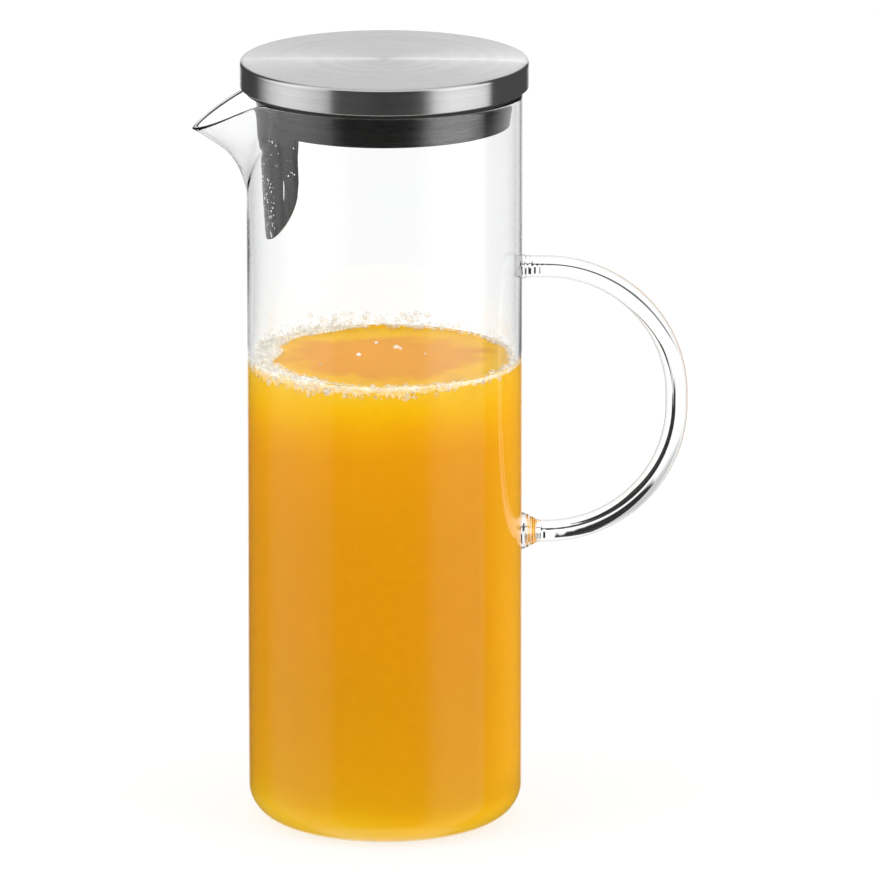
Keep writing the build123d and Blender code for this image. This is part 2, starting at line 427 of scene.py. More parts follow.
def makeWorld():
    world = bpy.data.worlds.new("studio")
    bpy.context.scene.world = world
    world.use_nodes = True
    world.cycles.sampling_method = "NONE"
    tree = world.node_tree
    background = next(n for n in tree.nodes if n.type == "BACKGROUND")
    x, y, z = addNode(tree, "SeparateXYZ", {0: addNode(tree, "TexCoord").outputs["Generated"]}).outputs
    degree = math.degrees(1)
    side = times(tree, calc(tree, "ARCTAN2", x, times(tree, y, -1.0)), degree)  # 0 is the camera's side
    back = times(tree, calc(tree, "ARCTAN2", x, y), degree)  # 0 is straight behind, + is right
    rise = times(tree, calc(tree, "ARCSINE", z), degree)

    def levels(angle, half, points, low, high):  # values between low and high, by angle from -half to half
        stops = [((a + half) / (2 * half), ((v - low) / (high - low),) * 3) for a, v in points]
        return remap(tree, ramp(tree, remap(tree, angle, -half, half, 0, 1), stops), 0, 1, low, high)

    def choose(share, a, b):
        return addNode(tree, "Mix", {"Factor": share, 2: a, 3: b}).outputs[0]

    def moreThan(depth, count):
        return calc(tree, "GREATER_THAN", depth, count + 0.5)

    def between(angle, low, high, soft=0.5):
        after = remap(tree, angle, low - soft, low + soft, 0, 1, "SMOOTHSTEP")
        return times(tree, after, remap(tree, angle, high - soft, high + soft, 1, 0, "SMOOTHSTEP"))

    def patch(sides, heights, soft=0.5, slant=0.0):
        height = calc(tree, "ADD", rise, times(tree, back, slant))
        return times(tree, between(back, *sides, soft), between(height, *heights, soft))

    s = stageSpec
    path = addNode(tree, "LightPath").outputs
    faces, turns = path["Transmission Depth"], path["Glossy Depth"]
    inGlass, deep = moreThan(faces, 0), moreThan(faces, 3)
    # the mirrored room: two panels, a backdrop with its strip, ceiling and ground
    half, edge = s["backdropHalf"], s["backdropEdge"]
    aside = calc(tree, "ABSOLUTE", back)
    behind = remap(tree, aside, half - edge, half + edge, 1, 0, "SMOOTHSTEP")
    around = times(tree, levels(side, 180, s["around"], 0, s["brightest"]), s["panelGain"])
    dimmed = times(tree, around, remap(tree, rise, *s["panelFade"], 1.0))
    dimmed = calc(tree, "MAXIMUM", dimmed, calc(tree, "MINIMUM", around, s["roomTone"]))
    around = choose(inGlass, dimmed, around)
    mirrored = choose(behind, around, levels(rise, 90, s["backdrop"], 0, s["brightest"]))
    mirrored = choose(patch(*s["strip"]), mirrored, s["stripLevel"])
    for start, full, tone in (s["overhead"], s["underneath"]):
        mirrored = choose(remap(tree, rise, start, full, 0, 1, "SMOOTHSTEP"), mirrored, tone)
    # seen through glass: line, stand, curtain and veil in front of white
    span = s["lineSpan"]
    off = calc(tree, "ABSOLUTE", calc(tree, "SUBTRACT", rise, levels(back, span, s["lineRise"], -40, 40)))
    past = calc(tree, "SUBTRACT", off, levels(back, span, s["lineHalf"], 0, 8))
    line = remap(tree, past, 0, s["lineSoft"], 1, 0, "SMOOTHSTEP")
    line = times(tree, line, levels(back, span, s["lineTone"], 0, 1))
    dark = times(tree, line, between(back, *s["lineEnds"]))
    for shape, tone in ((s["stand"], 1.0), (s["curtain"], 1.0), (s["veil"], s["veilTone"])):
        dark = calc(tree, "MAXIMUM", dark, times(tree, patch(*shape), tone))
    pitch = cameraSpec["pitch"]
    ahead = calc(tree, "SUBTRACT", times(tree, y, math.cos(pitch)), times(tree, z, math.sin(pitch)))
    white = remap(tree, ahead, *[math.cos(math.radians(a)) for a in s["seenAngles"]], *s["seenThrough"])
    through = choose(dark, white, s["darkest"])
    through = choose(moreThan(faces, 2), through, white)  # the dark shows in single rods only
    # what leaves the glass backwards after a turn inside its walls still counts as seen through
    backwards = calc(tree, "MAXIMUM", remap(tree, aside, *s["wallAside"], 1, 0), moreThan(turns, 1))
    fromLeft = choose(inGlass, 1.0, remap(tree, side, *s["leftInGlass"], 1.0))
    reflected = choose(times(tree, inGlass, backwards), times(tree, mirrored, fromLeft),
                       times(tree, through, choose(deep, *s["wallTone"])))
    # which of them a ray meets
    bent = calc(tree, "MAXIMUM", path["Is Glossy Ray"], path["Is Transmission Ray"])
    level = choose(path["Is Camera Ray"], s["softLight"], s["seenWhite"])
    level = choose(bent, level, choose(moreThan(turns, 0), through, reflected))
    lit = choose(path["Is Transmission Ray"], s["softLight"], choose(deep, *s["lightInGlass"]))
    level = choose(moreThan(path["Diffuse Depth"], 0), level, lit)
    setSockets(tree, background, {"Color": (1, 1, 1, 1), "Strength": level})


def makeFloor():
    half = stageSpec["floorHalf"]
    z = -stageSpec["floorDrop"]
    floor = makePiece("floor", [(-half, -half, z), (half, -half, z), (half, half, z), (-half, half, z)],
                      [(0, 1, 2, 3)], [])
    material = bpy.data.materials.new("paleFloor")
    material.use_nodes = True
    tree = material.node_tree
    tree.nodes.clear()
    path = addNode(tree, "LightPath").outputs
    seen = calc(tree, "MAXIMUM", calc(tree, "MAXIMUM", path["Is Camera Ray"], path["Is Transmission Ray"]),
                path["Is Glossy Ray"])
    speck = addNode(tree, "TexNoise", {"Scale": 90.0, "Detail": 4.0}).outputs["Fac"]
    matt = addNode(tree, "BsdfDiffuse", {"Color": ramp(tree, speck, [
        (0.3, (stageSpec["floorAlbedo"] - 0.01,) * 3), (0.7, (stageSpec["floorAlbedo"],) * 3)])})
    shade = 1 - stageSpec["floorGlow"]
    shadow = addNode(tree, "BsdfDiffuse", {"Color": (shade, shade, shade, 1)})
    glow = addNode(tree, "Emission", {"Strength": stageSpec["floorGlow"]})
    white = addNode(tree, "AddShader", {0: shadow.outputs[0], 1: glow.outputs[0]})
    surface = addNode(tree, "MixShader", {"Fac": seen, 1: matt.outputs[0], 2: white.outputs[0]})
    addNode(tree, "OutputMaterial", {"Surface": surface.outputs[0]})
    floor.data.materials.append(material)
    floor.visible_glossy = False
    floor.visible_transmission = False


def makeLamps():
    for name, place, aim, size, power in lampSpec:
        light = bpy.data.lights.new(name, "AREA")
        light.shape = "RECTANGLE"
        light.size, light.size_y = size
        light.energy = power
        lamp = bpy.data.objects.new(name, light)
        lamp.location = place
        lamp.rotation_euler = (Vector(aim) - Vector(place)).to_track_quat("-Z", "Y").to_euler()
        lamp.visible_camera = False
        lamp.visible_glossy = False
        lamp.visible_transmission = False
        bpy.context.scene.collection.objects.link(lamp)


def makeCamera():
    lens = bpy.data.cameras.new("photoCamera")
    lens.lens = cameraSpec["lens"]
    lens.sensor_width = cameraSpec["sensor"]
    lens.clip_end = 50.0
    camera = bpy.data.objects.new("photoCamera", lens)
    camera.location = cameraSpec["place"]
    camera.rotation_euler = (math.pi / 2 - cameraSpec["pitch"], 0, 0)
    bpy.context.scene.collection.objects.link(camera)
    bpy.context.scene.camera = camera


bpy.context.scene.view_settings.view_transform = "Standard"
bpy.context.scene.cycles.transparent_max_bounces = 32  # the foam's films lie many deep
makeWorld()
makeFloor()
makeLamps()
makeCamera()
print("stage ready")


# clear glass, for the blown jug and its rod handle
def makeGlass(name, spec):
    material, tree, shader = newMaterial(name)
    marks = useGroup(tree, smears, {"Scale": spec["smearScale"], "Amount": spec["smearRoughness"]})
    setSockets(tree, shader, {
        "Base Color": ramp(tree, marks["Height"], [(0.3, spec["tint"]), (0.7, spec["tintThin"])]),
        "Roughness": marks["Mask"],
        "IOR": spec["ior"],
        "Transmission Weight": 1.0,
        "Normal": bumpFrom(tree, marks["Height"], spec["waviness"], spec["waveDepth"]),
    })
    return material


# glass body: blown wall, rounded base and a pulled spout, one closed shell
glassSpec = {
    "wall": 2.2 * mm,
    "baseThickness": 3.2 * mm,
    "cornerR": 12.0 * mm,
    "segments": 320,
    "wallRows": 18,
    "cornerRows": 16,
    "spoutRows": 48,
    "beadRows": 9,
    "floorLoops": (0.3, 0.6, 0.85, 0.96),  # shares of the flat part of the base
    "wobble": 0.035 * mm,
    "wobbleInside": -0.7,  # share of it on the inner wall
    "wobbleWaves": [(1.0, 2, 1.3, 21), (0.6, 3, 0.0, -37)],  # share, waves round, phase, lean per metre
    "wobbleOverFoot": (20.0 * mm, 60.0 * mm),  # heights between which it comes in
    "wobbleUnderRim": (6.0 * mm, 30.0 * mm),
    "spoutTop": 44.0 * mm,  # how far under the rim the pulled part starts
    "spoutDrops": (32.2 * mm, 22.0 * mm, 13.4 * mm, -4.4 * mm),  # under the rim, root to throat
    "spoutReaches": (-2.2 * mm, 6.3 * mm, 19.0 * mm, 51.1 * mm),  # outward from the wall
    "spoutWidths": (17.0 * mm, 31.0 * mm, 43.0 * mm, 48.0 * mm),
    "spoutInset": 12.0 * mm,
    "spoutLeast": 0.5 * mm,  # no section of it gets narrower
    "spoutBeside": -0.75,  # cosine of the angle past which there is none
    "spoutPinch": 1.4,  # 2 is an ellipse in plan, 1 a straight-sided point
    "spoutCrowd": 0.6,  # how much closer the columns stand at the spout
    "spoutThin": 0.65,  # share of the wall that is left where the glass was pulled
    "thinAside": (75.0, 35.0),  # degrees beside the spout where that starts and is full
    "thinUnderRim": (75.0 * mm, 35.0 * mm),
    "spoutBlend": 7.0 * mm,
    "lipSlope": math.radians(29.0),
    "lipEase": 3.0 * mm,
    "beadRise": 0.495,  # how high the lip's bead stands over the walls, share of the lip's thickness
    "beadPull": 0.66,
    "material": {"smearScale": 25.0, "smearRoughness": 0.02, "tint": (0.985, 0.992, 0.99),
                 "tintThin": (0.996, 0.999, 0.998), "ior": 1.47, "waviness": 0.03, "waveDepth": 0.2 * mm},
}
boreR = glassR - glassSpec["wall"]


def hornRadius(angle, z, wall):  # distance from the axis to the spout's far side
    spec = glassSpec
    c, s = math.cos(angle), math.sin(angle)
    if c > spec["spoutBeside"]:
        return 0.0
    heights = [rimZ - drop + wall / 2 for drop in spec["spoutDrops"]]
    lengths = [spec["spoutInset"] + reach - wall for reach in spec["spoutReaches"]]
    halves = [width / 2 - wall for width in spec["spoutWidths"]]
    a, b = [max(easeCurve(z, heights, sizes), spec["spoutLeast"]) for sizes in (lengths, halves)]
    centre, power = spec["spoutInset"] - glassR, spec["spoutPinch"]

    def inHorn(d):
        return (abs(d * c - centre) / a) ** power + (abs(d * s) / b) ** power < 1

    return lastInside(centre * c, (a - centre) / -c, inHorn, 30)


def wallRadius(angle, z, wall):
    spec = glassSpec
    aside = math.degrees(abs(math.remainder(angle - math.pi, turn)))
    pulled = smoothStep(*spec["thinAside"], aside) * smoothStep(*[rimZ - d for d in spec["thinUnderRim"]], z)
    wall *= 1 + (spec["spoutThin"] - 1) * pulled
    ripple = sum(share * math.sin(waves * angle + phase + lean * z)
                 for share, waves, phase, lean in spec["wobbleWaves"])
    fade = smoothStep(*spec["wobbleOverFoot"], z) * smoothStep(*[rimZ - d for d in spec["wobbleUnderRim"]], z)
    plain = glassR - wall + spec["wobble"] * ripple * fade * (1 if wall == 0 else spec["wobbleInside"])
    return softMax(plain, hornRadius(angle, z, wall), spec["spoutBlend"])


def lipHeight(x):  # the rim, falling towards the spout's tip
    slope = math.tan(glassSpec["lipSlope"])
    tipX = glassLow.x
    lipStart = tipX + glassSpec["spoutDrops"][2] / slope
    d = lipStart - x
    return rimZ - slope * (d + math.sqrt(d * d + glassSpec["lipEase"] ** 2)) / 2


def wallTop(angle, wall, drop):  # where a wall reaches the lip, less the bead's height
    def underLip(z):
        return z < lipHeight(wallRadius(angle, z, wall) * math.cos(angle)) - drop

    return lastInside(rimZ - glassSpec["spoutTop"], rimZ, underLip, 40)


def glassMeridian(angle):
    spec = glassSpec
    wall, corner, rows = spec["wall"], spec["cornerR"], spec["wallRows"]
    floorZ, start = spec["baseThickness"], rimZ - spec["spoutTop"]
    flatR = glassR - corner
    line = [(flatR * share, 0.0) for share in spec["floorLoops"]]
    line += arcPoints((flatR, corner), corner, -math.pi / 2, 0, spec["cornerRows"])
    line += [(wallRadius(angle, z, 0), z) for z in spread(corner, start, rows)[1:]]
    bead = wall
    for _ in range(3):  # the bead is as high as the lip is thick
        outerTop, innerTop = [wallTop(angle, w, spec["beadRise"] * bead) for w in (0, wall)]
        across = wallRadius(angle, outerTop, 0) - wallRadius(angle, innerTop, wall)
        bead = math.hypot(across, outerTop - innerTop)
    line += [(wallRadius(angle, z, 0), z) for z in spread(start, outerTop, spec["spoutRows"])[1:]]
    inner = [(wallRadius(angle, z, wall), z) for z in spread(start, innerTop, spec["spoutRows"])[1:]]
    # fire-polished bead from the outer to the inner wall
    a, b = Vector(line[-1]), Vector(inner[-1])
    reach = spec["beadPull"] * (a - b).length
    p = a + (a - Vector(line[-2])).normalized() * reach
    q = b + (b - Vector(inner[-2])).normalized() * reach
    for t in spread(0, 1, spec["beadRows"] + 2)[1:-1]:
        line.append(tuple(a * (1 - t) ** 3 + p * 3 * t * (1 - t) ** 2 + q * 3 * t * t * (1 - t) + b * t**3))
    line += reversed(inner)
    innerCorner = corner - wall
    innerStart = floorZ + innerCorner
    line += [(wallRadius(angle, z, wall), z) for z in spread(start, innerStart, rows)[:-1]]
    line += arcPoints((flatR, innerStart), innerCorner, 0, -math.pi / 2, spec["cornerRows"])
    line += [(flatR * share, floorZ) for share in reversed(spec["floorLoops"])]
    return line


def makeGlassBody():
    angles = evenAngles(glassSpec["segments"])
    angles = [a + glassSpec["spoutCrowd"] * math.sin(a) for a in angles]  # finer at the spout
    rings = sectionRings(angles, [glassMeridian(a) for a in angles])
    rings = [[(0.0, 0.0, 0.0)], *rings, [(0.0, 0.0, glassSpec["baseThickness"])]]
    material = makeGlass("clearGlass", glassSpec["material"])
    shell = makePiece("blown_glass_body", *skinRings(rings), [material], 80)
    carry(shell, "jug", "clear_glass", "glass_body")


makeGlassBody()

# handle: one rod bent to a D, with melted feet
handleSpec = {
    "rodR": 3.8 * mm,
    "bendR": 45.0 * mm,
    "stub": 8.3 * mm,
    "bottomZ": 101.6 * mm,
    "grip": 4.0 * mm,
    "upperFoot": (4.1 * mm, 3.0 * mm),  # radius at the wall, length of the flare
    "lowerFoot": (6.3 * mm, 6.5 * mm),
    "flareReach": 1.15,  # of the foot's length
    "flarePower": 1.4,
    "ripple": 0.16 * mm,
    "ripplePitch": 1.7 * mm,
    "rippleFade": 0.9,  # of the foot's length
    "rippleStart": 0.4 * mm,
    "seat": 0.03 * mm,
    "bedding": 3.0 * mm,  # over this length the rod follows the wall's curve
    "sides": 56,
    "rows": (22, 60, 26),  # along the upper stub, a bend and the lower stub
    "endLoops": (0.7, 0.4),
    "material": {"smearScale": 60.0, "smearRoughness": 0.015, "tint": (0.98, 0.988, 0.986),
                 "tintThin": (0.994, 0.998, 0.997), "ior": 1.47, "waviness": 0.02, "waveDepth": 0.1 * mm},
}


def rodStations():  # (x, z, heading) along the rod, from the upper foot to the lower one
    bend = handleSpec["bendR"]
    bendX = glassR + handleSpec["stub"]
    lowZ = handleSpec["bottomZ"]
    topZ = lowZ + 2 * bend + handleSpec["grip"]
    upperRows, bendRows, lowerRows = handleSpec["rows"]
    stations = [(x, topZ, 0.0) for x in spread(glassR, bendX, upperRows)[:-1]]
    for start, centreZ in ((0.0, topZ - bend), (math.pi / 2, lowZ + bend)):
        stations += [(bendX + bend * math.sin(a), centreZ + bend * math.cos(a), -a)
                     for a in spread(start, start + math.pi / 2, bendRows)]
    stations += [(x, lowZ, -math.pi) for x in spread(bendX, glassR, lowerRows)[1:]]
    return stations


def footRadius(x, foot):
    spec = handleSpec
    footR, footLength = foot
    off = max(x - glassR, 0.0)
    flare = (1 - smoothStep(0, footLength * spec["flareReach"], off)) ** spec["flarePower"]
    wave = math.sin(turn * off / spec["ripplePitch"]) * math.exp(-off / (spec["rippleFade"] * footLength))
    wave *= smoothStep(0, spec["rippleStart"], off)
    return spec["rodR"] + (footR - spec["rodR"]) * flare + spec["ripple"] * wave


def makeHandle():
    rings = []
    sides, seat = handleSpec["sides"], handleSpec["seat"]
    middleZ = handleSpec["bottomZ"] + handleSpec["bendR"]
    for x, z, heading in rodStations():
        radius = footRadius(x, handleSpec["upperFoot"] if z > middleZ else handleSpec["lowerFoot"])
        near = 1 - smoothStep(0, handleSpec["bedding"], x - glassR)
        ring = []
        for a in evenAngles(sides):
            outward = radius * math.cos(a)
            px = x + outward * -math.sin(heading)
            py = radius * math.sin(a)
            pz = z + outward * math.cos(heading)
            wallX = math.sqrt(glassR**2 - min(py * py, glassR**2 / 4)) + seat
            ring.append((px + (wallX - glassR) * near, py, pz))
        rings.append(ring)
    ends = []
    for ring in (rings[0], rings[-1]):  # caps that lie against the wall
        z = sum(p[2] for p in ring) / sides
        discs = []
        for share in handleSpec["endLoops"]:
            inward = [(py * share, z + (pz - z) * share) for _, py, pz in ring]
            discs.append([(math.sqrt(glassR**2 - y * y) + seat, y, height) for y, height in inward])
        ends.append(discs + [[(glassR + seat, 0.0, z)]])
    rings = list(reversed(ends[0])) + rings + ends[1]
    material = makeGlass("rodGlass", handleSpec["material"])
    rod = makePiece("glass_rod_handle", *skinRings(rings), [material], 50)
    carry(rod, "jug", "handle_glass", "handle")


makeHandle()

# orange juice, in contact with the glass, with a meniscus along the wall
juiceSpec = {
    "bite": 0.25 * mm,  # how far the liquid's skin lies inside the glass, so that no air shows between them
    "meniscus": 0.9 * mm,
    "segments": 200,
    # painted light: lighter and yellower near the top, where light comes in through the surface; lighter near
    # the bottom too
    "levels": [  # height share, linear colour
        (0.0, (0.66, 0.43, 0.04)),
        (0.03, (0.65, 0.39, 0.01)),
        (0.06, (0.64, 0.345, 0.004)),
        (0.10, (0.61, 0.31, 0.003)),
        (0.20, (0.60, 0.285, 0.003)),
        (0.30, (0.59, 0.275, 0.003)),
        (0.45, (0.61, 0.27, 0.003)),
        (0.64, (0.615, 0.275, 0.003)),
        (0.75, (0.64, 0.285, 0.003)),
        (0.84, (0.665, 0.30, 0.003)),
        (0.90, (0.72, 0.36, 0.003)),
        (0.95, (0.77, 0.45, 0.004)),
        (1.0, (0.80, 0.52, 0.03)),
    ],
    "drift": 0.03,  # how far these wander up and down
    "pulpScale": 220.0,
    "pulpTone": (0.68, 0.33, 0.01),
    "pulpShare": 0.35,
    "glow": (0.92, 0.50, 0.02),  # painted light: a brighter tone where light would shine through the edge
    "paintedGlowSide": 0.35,  # how much more of that painted light there is on the handle's side
    "paintedGlowEdge": (0.13, 0.29),  # from facing to grazing
    "paintedGlowLow": (0.03, 0.12, 0.1),  # height shares where it fades, and what is left of it
    "topMiddle": (0.76, 0.32, 0.025),
    "topEdge": (0.90, 0.50, 0.01),
    "topRing": (0.55, 0.95),  # shares of the bore where the one goes over to the other
    "topSwirl": 8.0 * mm,
    "meniscusReach": 5.0 * mm,
    "meniscusFade": 1.1 * mm,
    "sag": 0.2 * mm,
}


def makeJuiceSide():
    spec = juiceSpec
    material, tree, shader = newMaterial("juiceBody")
    place = objectPlace(tree)
    x, _, z = addNode(tree, "SeparateXYZ", {0: place}).outputs
    drift = remap(tree, clouds(tree, place, 14.0, 2.0), 0.3, 0.7, -spec["drift"], spec["drift"])
    height = calc(tree, "ADD", remap(tree, z, juiceLow.z, juiceHigh.z, 0.0, 1.0), drift)
    tone = ramp(tree, height, spec["levels"])
    # painted light: towards grazing edges and on the handle's side the colour goes over to the brighter glow
    # tone, less of it near the bottom
    facing = addNode(tree, "LayerWeight", {"Blend": 0.5}).outputs["Facing"]
    more = spec["paintedGlowSide"]
    glow = times(tree, remap(tree, facing, *spec["paintedGlowEdge"], 0.0, 1.0),
                 remap(tree, x, -0.7 * boreR, 0.7 * boreR, 0.5 - more, 0.5 + more))
    glow = times(tree, glow, remap(tree, height, *spec["paintedGlowLow"], 1.0))
    tone = blendColour(tree, glow, tone, (*spec["glow"], 1))
    pulp = clouds(tree, place, spec["pulpScale"], 3.0, 0.7)
    flecks = remap(tree, pulp, 0.5, 0.8, 0.0, spec["pulpShare"])
    setSockets(tree, shader, {
        "Base Color": blendColour(tree, flecks, tone, (*spec["pulpTone"], 1)),
        "Roughness": remap(tree, pulp, 0.3, 0.7, 0.7, 0.9),
        "Specular IOR Level": 0.0,
    })
    return material


def makeJuiceTop():
    spec = juiceSpec
    material, tree, shader = newMaterial("juiceSurface")
    place = objectPlace(tree)
    x, y, _ = addNode(tree, "SeparateXYZ", {0: place}).outputs
    swirl = clouds(tree, place, 35.0, 4.0, distortion=1.2)
    swirl = remap(tree, swirl, 0.3, 0.7, -spec["topSwirl"], spec["topSwirl"])
    reach = calc(tree, "ADD", axisDistance(tree, x, y), swirl)
    edge = remap(tree, reach, *[boreR * share for share in spec["topRing"]], 0.0, 1.0, "SMOOTHSTEP")
    pulp = clouds(tree, place, 420.0, 3.0)
    setSockets(tree, shader, {
        "Base Color": blendColour(tree, edge, (*spec["topMiddle"], 1), (*spec["topEdge"], 1)),
        "Roughness": remap(tree, pulp, 0.3, 0.7, 0.12, 0.25),
        "IOR": 1.34,
        "Specular IOR Level": 0.06,
        "Normal": bumpFrom(tree, pulp, 0.08, 0.1 * mm),
    })
    return material


def makeJuice():
    corner = glassSpec["cornerR"] - glassSpec["wall"]
    bite, r = juiceSpec["bite"], boreR + juiceSpec["bite"]
    flatR = boreR - corner
    low = glassSpec["baseThickness"] - bite
    climb = juiceSpec["meniscus"]
    profile = [(0.0, low), (flatR * 0.5, low), (flatR * 0.9, low)]
    profile += arcPoints((flatR, low + corner + bite), corner + bite, -math.pi / 2, 0, 14)
    profile += [(r, z) for z in spread(low + corner + bite, juiceZ + climb, 14)[1:]]
    for d in spread(0.0, 1.0, 9)[1:]:  # meniscus, falling away from the wall
        off = juiceSpec["meniscusReach"] * d * d
        z = juiceZ + climb * math.exp(-off / juiceSpec["meniscusFade"]) - juiceSpec["sag"] * d
        profile.append((r - off, z))
    topZ = profile[-1][1]
    profile += [(r * 0.7, topZ), (r * 0.4, topZ), (0.0, topZ)]
    materials = [makeJuiceSide(), makeJuiceTop()]
    juice = makePiece("juice_fill", *skinRings(latheRings(profile, juiceSpec["segments"])), materials, 60)
    for face in juice.data.polygons:
        middle = face.center
        if middle.z > juiceZ - 0.5 * mm and math.hypot(middle.x, middle.y) < r - 0.02 * mm:
            face.material_index = 1
    carry(juice, "jug", "orange_juice", "orange_juice")


makeJuice()

# foam: a ring of froth against the wall, with many small bubbles on and round it
foamSpec = {
    "seed": 11,
    "press": 0.32 * mm,  # how far froth and flat bubbles lie in the wall, past the juice's skin
    "ring": [  # degrees from the handle, width, reach above and below the level, share of froth in the height
        (0, 2.0 * mm, 2.0 * mm, 0.7 * mm, 0.40),
        (45, 1.2 * mm, 3.5 * mm, 0.5 * mm, 0.20),
        (90, 0.9 * mm, 5.0 * mm, 0.5 * mm, 0.12),
        (135, 3.5 * mm, 5.0 * mm, 0.8 * mm, 0.25),
        (180, 8.0 * mm, 3.2 * mm, 3.0 * mm, 0.55),
        (225, 6.0 * mm, 1.6 * mm, 3.0 * mm, 0.60),
        (270, 2.8 * mm, 0.6 * mm, 2.6 * mm, 0.80),
        (315, 2.4 * mm, 0.9 * mm, 1.4 * mm, 0.60),
        (360, 2.0 * mm, 2.0 * mm, 0.7 * mm, 0.40),
    ],
    "wander": 0.35,  # how much all of these vary round the ring
    "frothLeast": 0.55 * mm,  # lowest top of the froth
    "segments": 720,
    "section": [0.1, 0.22, 0.36, 0.52, 0.68, 0.82, 0.93],  # shares of the width, from the wall inwards
    "topBubbles": 620,
    "wallBubbles": 760,
    "bubbleR": (0.3 * mm, 1.5 * mm),
    "smallWhere": (0.5 * mm, 2.2 * mm),  # added to the ring's height, and the sum that gives full size
    "fineFrom": 0.7 * mm,  # larger bubbles get more faces
    "crowdEdge": 1.5 * mm,  # added to the width where bubbles are thrown
    "crowdFull": 28.0 * mm * mm,  # section of foam where every throw counts
    "discHalf": 0.11 * mm,
    "loose": [  # single bubbles on the open surface: x, y, radius
        (-9 * mm, 4 * mm, 0.9 * mm),
        (4 * mm, 15 * mm, 1.1 * mm),
        (5.5 * mm, 13.4 * mm, 0.6 * mm),
        (-3 * mm, 22 * mm, 0.7 * mm),
        (14 * mm, 6 * mm, 0.5 * mm),
        (-22 * mm, -10 * mm, 0.5 * mm),
    ],
    "froth": (0.97, 0.93, 0.84),
    "frothLow": (0.92, 0.62, 0.14),
    "outline": (0.86, 0.76, 0.56),
    "film": (0.98, 0.97, 0.93),
    "filmWarm": (0.98, 0.90, 0.70),
    "films": {"bubbleFilm": (0.03, 0.3, 0.5), "looseFilm": (0.55, 0.85, 0.25)},  # thinnest, thickest, outline
}


def ringNoise(angle, scale, layer):
    return noise.noise(Vector((scale * math.cos(angle), scale * math.sin(angle), layer)))


def foamAt(angle):  # width, above, below and froth share at an angle
    ring = foamSpec["ring"]
    place = math.degrees(angle) % 360
    i = max(k for k in range(len(ring) - 1) if ring[k][0] <= place)
    t = smoothStep(ring[i][0], ring[i + 1][0], place)
    wander = 1 + foamSpec["wander"] * ringNoise(angle, 3, 0.7)
    return [(a + (b - a) * t) * wander for a, b in zip(ring[i][1:], ring[i + 1][1:])]


def makeFrothMaterial():
    material, tree, shader = newMaterial("froth")
    place = objectPlace(tree)
    z = addNode(tree, "SeparateXYZ", {0: place}).outputs[2]
    cloud = clouds(tree, place, 240.0, 3.0)

    def cellWalls(scale):
        sockets = {"Vector": place, "Scale": scale}
        return addNode(tree, "TexVoronoi", sockets, feature="DISTANCE_TO_EDGE").outputs["Distance"]

    wall = calc(tree, "MINIMUM", cellWalls(620.0), calc(tree, "ADD", cellWalls(1500.0), 0.03))
    lines = remap(tree, wall, 0.01, 0.08, 0.55, 0.0, "SMOOTHSTEP")
    low = calc(tree, "ADD", remap(tree, z, juiceZ - 1.5 * mm, juiceZ + 0.8 * mm, 1.0, 0.0),
               remap(tree, cloud, 0.35, 0.65, -0.35, 0.35))
    tone = blendColour(tree, low, (*foamSpec["froth"], 1), (*foamSpec["frothLow"], 1))
    setSockets(tree, shader, {
        "Base Color": blendColour(tree, lines, tone, (*foamSpec["outline"], 1)),
        "Roughness": remap(tree, cloud, 0.3, 0.7, 0.25, 0.5),
        "Specular IOR Level": 0.3,
        "Normal": bumpFrom(tree, wall, 0.6, 0.4 * mm),
    })
    return material


def makeBubbleMaterial(name, thin, thick, outline):
    material, tree, shader = newMaterial(name)
    facing = addNode(tree, "LayerWeight", {"Blend": 0.5}).outputs["Facing"]
    share = addNode(tree, "NewGeometry").outputs["Random Per Island"]
    rim = remap(tree, facing, 0.5, 0.95, 0.0, 1.0, "SMOOTHSTEP")
    body = remap(tree, share, 0.0, 1.0, thin, thick)
    tone = ramp(tree, share, [(0.0, foamSpec["filmWarm"]), (0.5, foamSpec["film"]), (1.0, foamSpec["film"])])
    edge = times(tree, rim, remap(tree, share, 0.0, 1.0, outline, 0.4 * outline))
    setSockets(tree, shader, {
        "Base Color": blendColour(tree, edge, tone, (*foamSpec["outline"], 1)),
        "Roughness": 0.08,
        "Alpha": calc(tree, "MAXIMUM", body, times(tree, rim, 0.65)),
        "IOR": 1.33,
    })
    return material


def bubbleShape(detail):
    work = bmesh.new()
    bmesh.ops.create_icosphere(work, subdivisions=detail, radius=1.0)
    work.verts.index_update()
    verts = [v.co.copy() for v in work.verts]
    faces = [[v.index for v in f.verts] for f in work.faces]
    work.free()
    return verts, faces


def addBall(verts, faces, shape, place, size):  # place is angle, r, z and size is outward, across, up
    ball, sides = shape
    angle, r, z = place
    deep, wide, tall = size
    out = Vector((math.cos(angle), math.sin(angle), 0))
    across = Vector((-math.sin(angle), math.cos(angle), 0))
    first = len(verts)
    for v in ball:
        p = out * (r + deep * v.x) + across * wide * v.y
        verts.append((p.x, p.y, z + tall * v.z))
    faces.extend([first + k for k in side] for side in sides)


def frothSection(angle):  # (r, z) points round the froth's section
    width, above, below, share = foamAt(angle)
    wallR = boreR + foamSpec["press"]
    scallop = abs(ringNoise(angle, 22, 3.1)) + 0.6 * abs(ringNoise(angle, 48, 8.4))
    deep = below * (0.45 + 1.1 * scallop)
    top = max(above * share, foamSpec["frothLeast"]) * (0.8 + 0.9 * abs(ringNoise(angle, 30, 5.2)))
    points = [(wallR, -deep), (wallR, -deep * 0.5), (wallR, 0.0), (wallR, top * 0.6), (wallR - 0.1 * mm, top)]
    for part in foamSpec["section"]:
        lump = ringNoise(angle, 55, 11 * part)
        rise = top * (1 - part) ** 0.7 * (1 + 0.5 * lump) + 0.15 * mm
        points.append((wallR - width * part * (1 + 0.1 * lump), rise))
    points += [(wallR - width, -0.3 * mm), (wallR - width * 0.85, -1.0 * mm), (wallR - 0.4 * mm, -deep * 0.9)]
    return [(r, juiceZ + z) for r, z in points]


